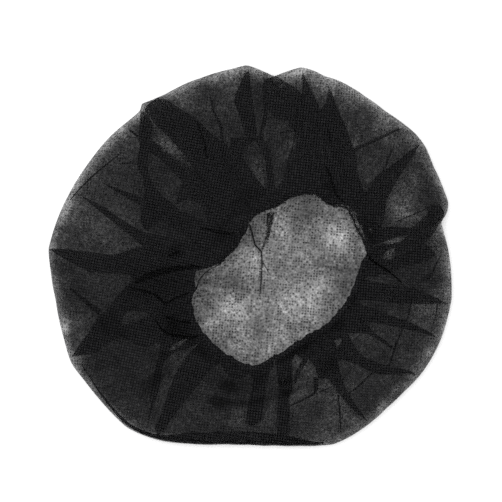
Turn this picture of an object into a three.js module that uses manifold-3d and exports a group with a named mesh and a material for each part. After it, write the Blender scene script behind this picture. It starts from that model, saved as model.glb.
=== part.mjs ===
import * as THREE from 'three';
import { mergeVertices } from 'three/addons/utils/BufferGeometryUtils.js';
import Module from 'manifold-3d';

const wasm = await Module();
wasm.setup();

// Bouffant cap of thin black nonwoven, lying on its crown with the mouth up, in millimetres.
// The shapes are worked out about the mouth's centre, and the group then sits on its own box.

// Crown
const rimReach = 164.2;      // mean way from the mouth's centre to the outline
const rimRound = 8;          // radius of the soft fold along the outline
const clothWall = 1;         // one layer of crumpled cloth
const neckHeight = 34;       // highest place of the cloth at the mouth's edge
const foldWidth = 33;        // the widest pleat where it reaches the mouth
const foldLift = 2;          // what the thickest pleat adds to the cloth
const gatherDepth = 1.5;     // height of the small gathers, up and down
const columnCount = 148;     // columns of facets round the crown

// Mouth, hem and elastic
const mouthReach = 61.7;     // mean way from the mouth's centre to its edge
const hemWidth = 5;          // the turned edge, seen from above
const hemReturn = 4;         // how far the turned edge runs back below
const scallopDepth = 0.8;    // the small bulges of the scrunched edge
const elasticDiameter = 1.2;
const elasticSides = 5;
const clearance = 0.3;       // air between two pieces

// Crease of the base layer
const creaseWidth = 2;
const creaseHeight = 1.4;

// Outline about the mouth's centre: bearing in degrees from +X, reach as a share of rimReach
const outlineRows = [
  { bearing: 0.0, reach: 0.867 },
  { bearing: 13.6, reach: 0.859 },
  { bearing: 19.7, reach: 0.852 },
  { bearing: 22.0, reach: 0.900 },
  { bearing: 24.8, reach: 0.927 },
  { bearing: 36.3, reach: 0.954 },
  { bearing: 42.4, reach: 0.994 },
  { bearing: 46.7, reach: 1.004 },
  { bearing: 57.9, reach: 1.000 },
  { bearing: 65.0, reach: 1.019 },
  { bearing: 71.7, reach: 1.052 },
  { bearing: 79.7, reach: 1.082 },
  { bearing: 84.2, reach: 1.080 },
  { bearing: 91.5, reach: 1.027 },
  { bearing: 98.6, reach: 1.097 },
  { bearing: 111.6, reach: 1.090 },
  { bearing: 121.6, reach: 1.101 },
  { bearing: 128.2, reach: 1.129 },
  { bearing: 129.3, reach: 1.102 },
  { bearing: 141.3, reach: 1.128 },
  { bearing: 156.1, reach: 1.156 },
  { bearing: 172.4, reach: 1.175 },
  { bearing: 178.2, reach: 1.148 },
  { bearing: 185.1, reach: 1.127 },
  { bearing: 202.6, reach: 1.117 },
  { bearing: 213.1, reach: 1.081 },
  { bearing: 224.1, reach: 1.050 },
  { bearing: 234.4, reach: 0.992 },
  { bearing: 241.4, reach: 0.942 },
  { bearing: 250.3, reach: 0.889 },
  { bearing: 259.8, reach: 0.851 },
  { bearing: 268.4, reach: 0.837 },
  { bearing: 277.0, reach: 0.843 },
  { bearing: 288.2, reach: 0.865 },
  { bearing: 296.6, reach: 0.851 },
  { bearing: 309.9, reach: 0.829 },
  { bearing: 324.1, reach: 0.843 },
  { bearing: 339.3, reach: 0.855 },
  { bearing: 353.3, reach: 0.871 },
];

// Edge of the mouth: reach as a share of mouthReach, height as a share of neckHeight
const mouthRows = [
  { bearing: 10.4, reach: 1.090, height: 0.94 },
  { bearing: 17.4, reach: 1.222, height: 0.97 },
  { bearing: 35.5, reach: 1.247, height: 1.00 },
  { bearing: 47.0, reach: 1.324, height: 1.00 },
  { bearing: 54.1, reach: 1.253, height: 0.98 },
  { bearing: 65.7, reach: 1.278, height: 0.96 },
  { bearing: 73.6, reach: 1.195, height: 0.95 },
  { bearing: 83.1, reach: 1.089, height: 0.93 },
  { bearing: 92.3, reach: 0.969, height: 0.92 },
  { bearing: 109.1, reach: 0.925, height: 0.93 },
  { bearing: 117.0, reach: 0.873, height: 0.95 },
  { bearing: 124.7, reach: 0.767, height: 0.97 },
  { bearing: 139.8, reach: 0.740, height: 1.00 },
  { bearing: 155.5, reach: 0.789, height: 0.97 },
  { bearing: 164.7, reach: 0.884, height: 0.92 },
  { bearing: 179.2, reach: 1.014, height: 0.88 },
  { bearing: 189.0, reach: 1.203, height: 0.87 },
  { bearing: 204.9, reach: 1.235, height: 0.88 },
  { bearing: 225.4, reach: 1.207, height: 0.90 },
  { bearing: 246.3, reach: 1.217, height: 0.93 },
  { bearing: 256.7, reach: 1.153, height: 0.95 },
  { bearing: 262.6, reach: 1.027, height: 0.96 },
  { bearing: 279.7, reach: 0.891, height: 0.95 },
  { bearing: 297.9, reach: 0.802, height: 0.93 },
  { bearing: 320.6, reach: 0.877, height: 0.92 },
  { bearing: 346.9, reach: 0.966, height: 0.93 },
];

// Pleats, one row each: bearing of the fold at the outline and at the mouth, where it starts and
// ends on the way in (0 outline, 1 mouth), width as a share of foldWidth, lift of foldLift
const pleatRows = [
  { rim: 24.8, mouth: 23.8, start: 0.00, end: 1.00, width: 0.75, lift: 1.00 },
  { rim: 44.1, mouth: 28.7, start: 0.04, end: 1.00, width: 0.50, lift: 0.80 },
  { rim: 50.3, mouth: 41.0, start: 0.00, end: 0.50, width: 0.40, lift: 0.50 },
  { rim: 75.6, mouth: 52.0, start: 0.05, end: 1.00, width: 0.75, lift: 0.90 },
  { rim: 84.1, mouth: 71.3, start: 0.00, end: 1.00, width: 0.30, lift: 0.60 },
  { rim: 91.8, mouth: 86.3, start: 0.00, end: 1.00, width: 1.00, lift: 1.00 },
  { rim: 98.8, mouth: 98.7, start: 0.00, end: 1.00, width: 0.50, lift: 0.70 },
  { rim: 112.0, mouth: 108.0, start: 0.15, end: 0.60, width: 0.15, lift: 0.40 },
  { rim: 122.5, mouth: 116.3, start: 0.03, end: 1.00, width: 0.75, lift: 0.90 },
  { rim: 134.0, mouth: 130.0, start: 0.00, end: 0.30, width: 0.50, lift: 0.60 },
  { rim: 147.0, mouth: 141.1, start: 0.12, end: 1.00, width: 0.35, lift: 0.60 },
  { rim: 156.9, mouth: 155.1, start: 0.05, end: 1.00, width: 0.35, lift: 0.60 },
  { rim: 172.4, mouth: 165.0, start: 0.00, end: 1.00, width: 0.75, lift: 0.90 },
  { rim: 200.8, mouth: 176.0, start: 0.00, end: 1.00, width: 0.75, lift: 1.00 },
  { rim: 225.0, mouth: 211.6, start: 0.12, end: 1.00, width: 0.25, lift: 0.50 },
  { rim: 233.0, mouth: 226.0, start: 0.00, end: 1.00, width: 0.50, lift: 0.80 },
  { rim: 264.0, mouth: 258.0, start: 0.00, end: 1.00, width: 0.35, lift: 0.60 },
  { rim: 272.6, mouth: 271.7, start: 0.00, end: 1.00, width: 0.38, lift: 0.60 },
  { rim: 291.7, mouth: 290.0, start: 0.00, end: 1.00, width: 0.20, lift: 0.40 },
  { rim: 302.7, mouth: 302.0, start: 0.00, end: 1.00, width: 0.30, lift: 0.60 },
  { rim: 326.5, mouth: 315.2, start: 0.00, end: 1.00, width: 0.55, lift: 0.80 },
  { rim: 341.1, mouth: 332.3, start: 0.03, end: 1.00, width: 0.38, lift: 0.60 },
  { rim: 352.8, mouth: 345.5, start: 0.04, end: 1.00, width: 0.62, lift: 0.70 },
];

// Where the hem is pulled off the elastic, as bearings at the mouth
const hemGap = { from: 165.5, to: 184.5 };

// The crease's strokes: points as shares of mouthReach, height as a share of creaseHeight
const creaseStrokes = [
  [
    { x: -0.411, y: 0.746, height: 0.3 },
    { x: -0.325, y: 0.463, height: 0.8 },
    { x: -0.242, y: 0.377, height: 1.0 },
  ],
  [
    { x: -0.128, y: 0.899, height: 0.3 },
    { x: -0.154, y: 0.660, height: 0.8 },
    { x: -0.242, y: 0.377, height: 1.0 },
  ],
  [
    { x: -0.242, y: 0.390, height: 1.0 },
    { x: -0.231, y: 0.242, height: 1.0 },
    { x: -0.252, y: -0.128, height: 0.7 },
    { x: -0.264, y: -0.215, height: 0.3 },
  ],
  [
    { x: -0.215, y: 0.232, height: 0.9 },
    { x: -0.111, y: 0.060, height: 0.3 },
  ],
];

// Value of one column of a table at a bearing, along straight stretches between its rows
function rowValue(rows, bearing, column) {
  const turned = THREE.MathUtils.euclideanModulo(bearing, 360);
  const after = rows.findIndex((row) => row.bearing > turned);
  const next = after < 0 ? 0 : after;
  const low = rows[(next + rows.length - 1) % rows.length];
  const high = rows[next];
  const span = THREE.MathUtils.euclideanModulo(high.bearing - low.bearing, 360);
  const along = THREE.MathUtils.euclideanModulo(turned - low.bearing, 360);
  return THREE.MathUtils.lerp(low[column], high[column], along / span);
}

// Columns of the model: each pleat's fold has one, and equal steps fill the way to the next pleat
function makeColumns() {
  const columns = [];
  pleatRows.forEach((pleat, index) => {
    const next = pleatRows[(index + 1) % pleatRows.length];
    const rimSpan = THREE.MathUtils.euclideanModulo(next.rim - pleat.rim, 360);
    const mouthSpan = THREE.MathUtils.euclideanModulo(next.mouth - pleat.mouth, 360);
    const steps = Math.max(2, Math.round(columnCount * (rimSpan + mouthSpan) / 720));
    for (let step = 0; step < steps; step += 1) {
      const share = step / steps;
      columns.push({ rim: pleat.rim + rimSpan * share, mouth: pleat.mouth + mouthSpan * share });
    }
  });
  return columns;
}

const columns = makeColumns();
const gatherCount = Math.round(columns.length / 4);

// A point of the plan at a bearing and a distance from the mouth's centre
function planPoint(bearing, distance) {
  const angle = THREE.MathUtils.degToRad(bearing);
  return new THREE.Vector2(Math.cos(angle) * distance, Math.sin(angle) * distance);
}

// Small gathers at a column, full height at the mouth
function gatherWave(index) {
  return gatherDepth * Math.cos(2 * Math.PI * gatherCount * index / columns.length);
}

// Top of the cloth at the mouth's edge
function neckTop(index) {
  return neckHeight * rowValue(mouthRows, columns[index].mouth, 'height') + gatherWave(index);
}

// What the pleats add to the cloth at a column and a share of the way in
function pleatLift(index, way) {
  const column = columns[index];
  const bearing = THREE.MathUtils.lerp(column.rim, column.mouth, way);
  const radius = THREE.MathUtils.lerp(rimReach, mouthReach, way);
  let lift = 0;
  for (const pleat of pleatRows) {
    const fold = THREE.MathUtils.lerp(pleat.rim, pleat.mouth, way);
    const degrees = THREE.MathUtils.euclideanModulo(bearing - fold + 180, 360) - 180;
    const across = THREE.MathUtils.degToRad(degrees) * radius;
    const width = pleat.width * foldWidth * THREE.MathUtils.lerp(0.4, 1, way);
    const fadeIn = THREE.MathUtils.smoothstep(way, pleat.start - 0.02, pleat.start + 0.2);
    const fadeOut = pleat.end < 1 ? 1 - THREE.MathUtils.smoothstep(way, pleat.end - 0.15, pleat.end) : 1;
    if (across > -1e-6 && across < width) {
      lift = Math.max(lift, pleat.lift * foldLift * fadeIn * fadeOut * (1 - across / width));
    }
  }
  return lift;
}

// A point of the soft fold at the outline: angle -90 below, 0 outermost, 90 above
function rimPoint(index, angleDegrees, radius) {
  const { rim } = columns[index];
  const angle = THREE.MathUtils.degToRad(angleDegrees);
  const reach = rimReach * rowValue(outlineRows, rim, 'reach') - rimRound + radius * Math.cos(angle);
  const plan = planPoint(rim, reach);
  return new THREE.Vector3(plan.x, plan.y, rimRound + radius * Math.sin(angle));
}

// A point of the upper layer: way 0 is the top of the outline's fold, way 1 the edge at the hem
function upperPoint(index, way, layers) {
  const start = rimPoint(index, 90, rimRound);
  const { mouth } = columns[index];
  const edge = mouthReach * rowValue(mouthRows, mouth, 'reach') + hemWidth + clearance;
  const end = planPoint(mouth, edge);
  const gathers = gatherWave(index) * THREE.MathUtils.smoothstep(way, 0.35, 1);
  const neck = neckTop(index) - gatherWave(index);
  const top = THREE.MathUtils.lerp(start.z, neck, way ** 1.5) + gathers;
  const height = layers === 'outer' ? top + pleatLift(index, way) : top - clothWall;
  return new THREE.Vector3(
    THREE.MathUtils.lerp(start.x, end.x, way),
    THREE.MathUtils.lerp(start.y, end.y, way),
    height,
  );
}

// Triangles of a surface through rows of points, each row closed on itself
function skin(rows, { looped = false, capped = false } = {}) {
  const positions = [];
  const addFace = (a, b, c) => {
    if (a.distanceTo(b) > 1e-4 && b.distanceTo(c) > 1e-4 && c.distanceTo(a) > 1e-4) {
      positions.push(...a.toArray(), ...b.toArray(), ...c.toArray());
    }
  };
  const count = rows[0].length;
  const bands = looped ? rows.length : rows.length - 1;
  for (let band = 0; band < bands; band += 1) {
    const low = rows[band];
    const high = rows[(band + 1) % rows.length];
    for (let place = 0; place < count; place += 1) {
      const next = (place + 1) % count;
      addFace(low[place], low[next], high[next]);
      addFace(low[place], high[next], high[place]);
    }
  }
  if (capped) {
    const first = rows[0];
    const last = rows[rows.length - 1];
    for (let place = 0; place < Math.floor(count / 2); place += 1) {
      const opposite = count - 1 - place;
      const next = place + 1;
      const before = opposite - 1;
      if (next < opposite) {
        addFace(first[place], first[opposite], first[next]);
        addFace(last[place], last[next], last[opposite]);
      }
      if (next < before) {
        addFace(first[next], first[opposite], first[before]);
        addFace(last[next], last[before], last[opposite]);
      }
    }
  }
  const geometry = new THREE.BufferGeometry();
  geometry.setAttribute('position', new THREE.Float32BufferAttribute(positions, 3));
  return mergeVertices(geometry, 1e-4);
}

function toManifold(geometry) {
  return new wasm.Manifold(new wasm.Mesh({
    numProp: 3,
    vertProperties: new Float32Array(geometry.attributes.position.array),
    triVerts: new Uint32Array(geometry.index.array),
  }));
}

function fromManifold(solid) {
  const mesh = solid.getMesh();
  const geometry = new THREE.BufferGeometry();
  geometry.setAttribute('position', new THREE.Float32BufferAttribute(mesh.vertProperties, 3));
  geometry.setIndex(new THREE.Uint32BufferAttribute(mesh.triVerts, 1));
  return geometry;
}

// One stroke of the crease: a low ridge rooted in the base layer
function creaseRidge(stroke) {
  const points = stroke.map((point) => new THREE.Vector2(point.x, point.y).multiplyScalar(mouthReach));
  const rows = points.map((point, index) => {
    const from = points[Math.max(index - 1, 0)];
    const to = points[Math.min(index + 1, points.length - 1)];
    const along = to.clone().sub(from).normalize();
    const side = new THREE.Vector2(-along.y, along.x).multiplyScalar(creaseWidth / 2);
    const top = clothWall + creaseHeight * stroke[index].height;
    return [
      new THREE.Vector3(point.x + side.x, point.y + side.y, clothWall / 2),
      new THREE.Vector3(point.x, point.y, top),
      new THREE.Vector3(point.x - side.x, point.y - side.y, clothWall / 2),
    ];
  });
  return skin(rows, { capped: true });
}

// The disc of cloth: up the outside from the middle of the base to the hem, and back inside
function makeCrown() {
  const ring = (make) => columns.map((column, index) => make(index));
  const rimAngles = [-90, -45, 0, 45];
  const outerWays = [0, 0.1, 0.2, 0.32, 0.45, 0.6, 0.75, 0.88, 1];
  const innerWays = [1, 0.8, 0.6, 0.4, 0.2, 0];
  const rows = [
    ring(() => new THREE.Vector3(0, 0, 0)),
    ...rimAngles.map((angle) => ring((index) => rimPoint(index, angle, rimRound))),
    ...outerWays.map((way) => ring((index) => upperPoint(index, way, 'outer'))),
    ...innerWays.map((way) => ring((index) => upperPoint(index, way, 'inner'))),
    ...rimAngles.toReversed().map((angle) => ring((index) => rimPoint(index, angle, rimRound - clothWall))),
    ring(() => new THREE.Vector3(0, 0, clothWall)),
  ];
  let solid = toManifold(skin(rows));
  for (const stroke of creaseStrokes) {
    solid = solid.add(toManifold(creaseRidge(stroke)));
  }
  return fromManifold(solid);
}

// Middle of the elastic, below the top of the hem and out from the mouth's edge
const channelRadius = elasticDiameter / 2 + clearance;
const hemRound = channelRadius + clothWall;

// A point of the hem's section: out is measured outwards from the mouth's edge, down from the neck
function hemPoint(index, out, down) {
  const { mouth } = columns[index];
  const plan = planPoint(mouth, mouthReach * rowValue(mouthRows, mouth, 'reach') + out);
  return new THREE.Vector3(plan.x, plan.y, neckTop(index) - down);
}

// The turned edge: from the crown over the elastic and back below it, open towards the crown
function makeHem() {
  const turns = [90, 150, 210, 270];
  const rows = [];
  columns.forEach(({ mouth }, index) => {
    if (mouth % 360 >= hemGap.from && mouth % 360 <= hemGap.to) {
      return;
    }
    const bulge = index % 2 === 0 ? scallopDepth : 0;
    const leaf = (radius, swell) => [
      hemPoint(index, hemWidth, hemRound - radius),
      ...turns.map((turn) => {
        const angle = THREE.MathUtils.degToRad(turn);
        const out = hemRound + radius * Math.cos(angle) - swell * Math.abs(Math.cos(angle));
        return hemPoint(index, out, hemRound - radius * Math.sin(angle));
      }),
      hemPoint(index, hemReturn, hemRound + radius),
    ];
    rows.push([...leaf(channelRadius, 0), ...leaf(hemRound, bulge).toReversed()]);
  });
  const afterGap = columns.filter(({ mouth }) => mouth % 360 < hemGap.from && mouth < 360).length;
  const ordered = [...rows.slice(afterGap), ...rows.slice(0, afterGap)];
  return skin(ordered, { capped: true });
}

// The loop of elastic in the hem's channel
function makeElastic() {
  const rows = columns.map((column, index) => {
    const section = [];
    for (let side = 0; side < elasticSides; side += 1) {
      const angle = -2 * Math.PI * side / elasticSides;
      const radius = elasticDiameter / 2;
      section.push(hemPoint(index, hemRound + radius * Math.cos(angle), hemRound - radius * Math.sin(angle)));
    }
    return section;
  });
  return skin(rows, { looped: true });
}

const nonwoven = new THREE.MeshStandardMaterial({ color: 0x1c1c1e, roughness: 0.85, metalness: 0 });
nonwoven.name = 'black spunbond nonwoven';
const turnedNonwoven = new THREE.MeshStandardMaterial({ color: 0x161617, roughness: 0.85, metalness: 0 });
turnedNonwoven.name = 'black spunbond nonwoven, gathered';
const rubber = new THREE.MeshStandardMaterial({ color: 0x0f0f10, roughness: 0.6, metalness: 0 });
rubber.name = 'black covered elastic';

const cap = new THREE.Group();

function addPiece(name, geometry, material) {
  geometry.computeVertexNormals();
  const piece = new THREE.Mesh(geometry, material);
  piece.name = name;
  cap.add(piece);
  return piece;
}

addPiece('crown', makeCrown(), nonwoven);
addPiece('hem', makeHem(), turnedNonwoven);
addPiece('elastic', makeElastic(), rubber);

// The origin is the middle of the outline's box, on the table
const box = new THREE.Box3().setFromObject(cap);
const middle = box.getCenter(new THREE.Vector3());
cap.position.set(-middle.x, -middle.y, -box.min.z);
cap.updateMatrixWorld(true);

export default cap;
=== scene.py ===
import math

import bpy
import numpy as np
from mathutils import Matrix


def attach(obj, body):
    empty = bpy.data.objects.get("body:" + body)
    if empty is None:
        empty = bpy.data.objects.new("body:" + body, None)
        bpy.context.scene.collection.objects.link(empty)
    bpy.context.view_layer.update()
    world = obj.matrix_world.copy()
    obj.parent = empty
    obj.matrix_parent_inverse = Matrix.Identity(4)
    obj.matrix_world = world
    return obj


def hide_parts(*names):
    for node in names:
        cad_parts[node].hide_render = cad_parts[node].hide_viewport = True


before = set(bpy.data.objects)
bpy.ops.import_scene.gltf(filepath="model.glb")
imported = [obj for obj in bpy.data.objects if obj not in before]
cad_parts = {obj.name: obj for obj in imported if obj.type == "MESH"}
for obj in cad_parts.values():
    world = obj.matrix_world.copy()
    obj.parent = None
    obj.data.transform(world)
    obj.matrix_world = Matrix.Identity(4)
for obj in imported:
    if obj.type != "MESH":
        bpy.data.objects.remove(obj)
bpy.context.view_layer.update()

# The cap lies on its crown with the mouth up. Shapes are worked out in millimetres about the
# mouth's centre, as in part.mjs, and placed at the end in the frame's metres.
mouthCentre = (24.386, -19.992)
millimetre = 0.001

# The photograph's view, straight down
view = {
    "aimX": 0.79,
    "aimY": 4.02,
    "planeHeight": 8.0,     # height of the outline
    "across": 415.66,       # what the picture shows from side to side at that height
    "away": 1600.0,
    "sensor": 36.0,
    "clipEnd": 20.0,        # metres
}

crown = {
    "rimReach": 164.2,      # mean way from the mouth's centre to the outline
    "rimRound": 8.0,        # radius of the soft fold along the outline
    "mouthReach": 61.7,
    "neckHeight": 34.0,     # the cloth at the mouth's edge
    "neckBend": 1.5,        # how late the cloth rises on its way to the mouth
    "hemCover": 3.6,        # the crown ends this far outside the mouth's edge, under the hem
    "columnStep": 1.0,      # degrees between two columns of the cloth
    "backStep": 1.3,        # and where it runs back
    "topRows": 50,
    "baseRows": 20,
    "rimRows": 7,
    "wayStops": 201,        # at which the folds' edges are worked out
    "foldTip": 0.03,        # share of the way in which a fold that ends runs out
    "foldSpace": 0.05,      # degrees that two folds keep between them
    "foldFade": 5.0,        # how far beside a fold the cloth comes down again
    "fullFold": 3.5,        # a fold this wide has its full height
    "foldsOver": 0.7,       # chance that a fold's cloth lies over the rest and not under it
    "layerGap": 0.42,       # air between two folded layers
    "puffHeight": 1.1,      # soft swelling of the upper layer
    "puffSizes": (30.0, 12.0),
    "baseRise": 0.7,        # mean height of the layer on the table
    "baseLeast": 0.15,
    "baseRipple": 0.45,     # its unevenness
    "rippleSize": 17.0,
    "gathering": 0.35,      # extra layers from gathers too fine to see
    "gatherWay": (0.02, 0.2),
    "neckGathering": 0.8,   # and more of them near the mouth
    "neckWay": (0.6, 0.95),
    "layerRange": (0.08, 4.0),  # fewest and most layers in one place
    "baseRange": (0.15, 2.0),
    "leastLit": 0.1,        # share of its colour that the painted shade of deep folds leaves at least
    "clouds": 0.5,          # strength of the web's clouds
    "rimClouds": 0.6,       # how much more at the outline, down to none over rimCloudWay
    "rimCloudWay": (0.04, 0.16),
    "mouthClouds": -0.1,    # and how much less in the mouth, which ends over mouthShare
    "mouthShare": (1.0, 1.3),
    "spotDepth": 1.35,      # strength of the base's closer and thinner places
    "bondPitch": 2.25,      # between two bond points of the cloth
    "grainTurn": 3.5,       # degrees that the bond grid is turned in the upper layer
    "grainLean": 4.0,       # more of it toward the left
    "grainBack": 6.0,       # more of it where the cloth runs back
    "grainSpread": 1.0,
    "grainShifts": 300,     # pitches
    "baseGrainTurn": 0.09,  # radians
    "creaseLayers": 1.7,    # close-gathered cloth in a hairpin
    "creaseStops": 5,       # points of a crease for each row of its table
    "creaseGrainTurn": 0.1,
    "baseCreaseStops": 14,
    "baseCreaseLift": 0.1,
    "baseCreaseShift": 0.7,
}

# Outline of the crown: bearing in degrees from +X, reach as a share of rimReach
outlineRows = [
    (0, 0.867), (13.6, 0.859), (19.7, 0.852), (22, 0.9), (24.8, 0.927), (36.3, 0.954), (42.4, 0.994),
    (46.7, 1.004), (57.9, 1), (65, 1.019), (71.7, 1.052), (79.7, 1.082), (84.2, 1.08), (91.5, 1.027),
    (98.6, 1.097), (111.6, 1.09), (121.6, 1.101), (128.2, 1.129), (129.3, 1.102), (141.3, 1.128),
    (156.1, 1.156), (172.4, 1.175), (178.2, 1.148), (185.1, 1.127), (202.6, 1.117), (213.1, 1.081),
    (224.1, 1.05), (234.4, 0.992), (241.4, 0.942), (250.3, 0.889), (259.8, 0.851), (268.4, 0.837),
    (277, 0.843), (288.2, 0.865), (296.6, 0.851), (309.9, 0.829), (324.1, 0.843), (339.3, 0.855),
    (353.3, 0.871),
]

# Edge of the mouth: bearing, reach as a share of mouthReach, height as a share of neckHeight
mouthRows = [
    (10.4, 1.09, 0.94), (17.4, 1.222, 0.97), (35.5, 1.247, 1), (47, 1.324, 1), (54.1, 1.253, 0.98),
    (65.7, 1.278, 0.96), (73.6, 1.195, 0.95), (83.1, 1.089, 0.93), (92.3, 0.969, 0.92),
    (109.1, 0.925, 0.93), (117, 0.873, 0.95), (124.7, 0.767, 0.97), (139.8, 0.74, 1),
    (155.5, 0.789, 0.97), (164.7, 0.884, 0.92), (179.2, 1.014, 0.88), (189, 1.203, 0.87),
    (204.9, 1.235, 0.88), (225.4, 1.207, 0.9), (246.3, 1.217, 0.93), (256.7, 1.153, 0.95),
    (262.6, 1.027, 0.96), (279.7, 0.891, 0.95), (297.9, 0.802, 0.93), (320.6, 0.877, 0.92),
    (346.9, 0.966, 0.93),
]

# How far the soft cloth lies inside the solids' edges: bearing, millimetres
rimTrim = [
    (0, 0), (15, -0.8), (21, -2.4), (28, -1.4), (36, -1.8), (42, -0.5), (60, -0.8), (66, -0.4),
    (70, 0.8), (75, 2), (78, 4), (81, 1.6), (84, 0), (100, 0), (102, 0.8), (106, 0), (114, -0.8),
    (126, 0.8), (129, -0.8), (132, 0.7), (140, 0.8), (148, 2), (157, 2), (163, 1), (171, 0), (180, -1),
    (195, -0.8), (201, -2.2), (207, -0.8), (216, -1.8), (225, -3.4), (231, -2.4), (240, 0), (253, 1.8),
    (265, 0.5), (276, 0), (285, -0.7), (293, -1.8), (309, -2.2), (318, -1), (327, -2), (339, -2),
    (348, -0.6),
]
mouthTrim = [
    (0, 1.6), (10, 0.3), (20, 0.3), (30, 1.4), (48, 1.6), (54, 3.2), (60, 5.4), (66, 3.2), (72, 0.8),
    (90, 0.4), (132, 0), (144, 2.6), (150, 2.8), (156, 1.6), (166, 5.8), (173, 0.8), (179, -1.8),
    (186, 3.6), (192, 0.8), (204, 0), (225, -0.6), (240, 0.8), (250, 0), (265, -0.8), (276, 0.2),
    (282, 1.6), (290, 0), (312, 0.6), (330, 2.2), (342, 1.7),
]

# How far the crown's edge draws back from the hem: bearing, millimetres. At the bare elastic it
# leaves a corner open, and near 38 degrees only the hem's thin edge is left.
notchRows = [
    (24, 0), (30, 0.9), (38, 1.4), (45, 1.1), (52, 0), (57, -1.8), (95, -1.8), (100, 0), (167.5, 0),
    (170.5, 1), (174, 6.3), (179, 2.7), (184, 0),
]

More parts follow.
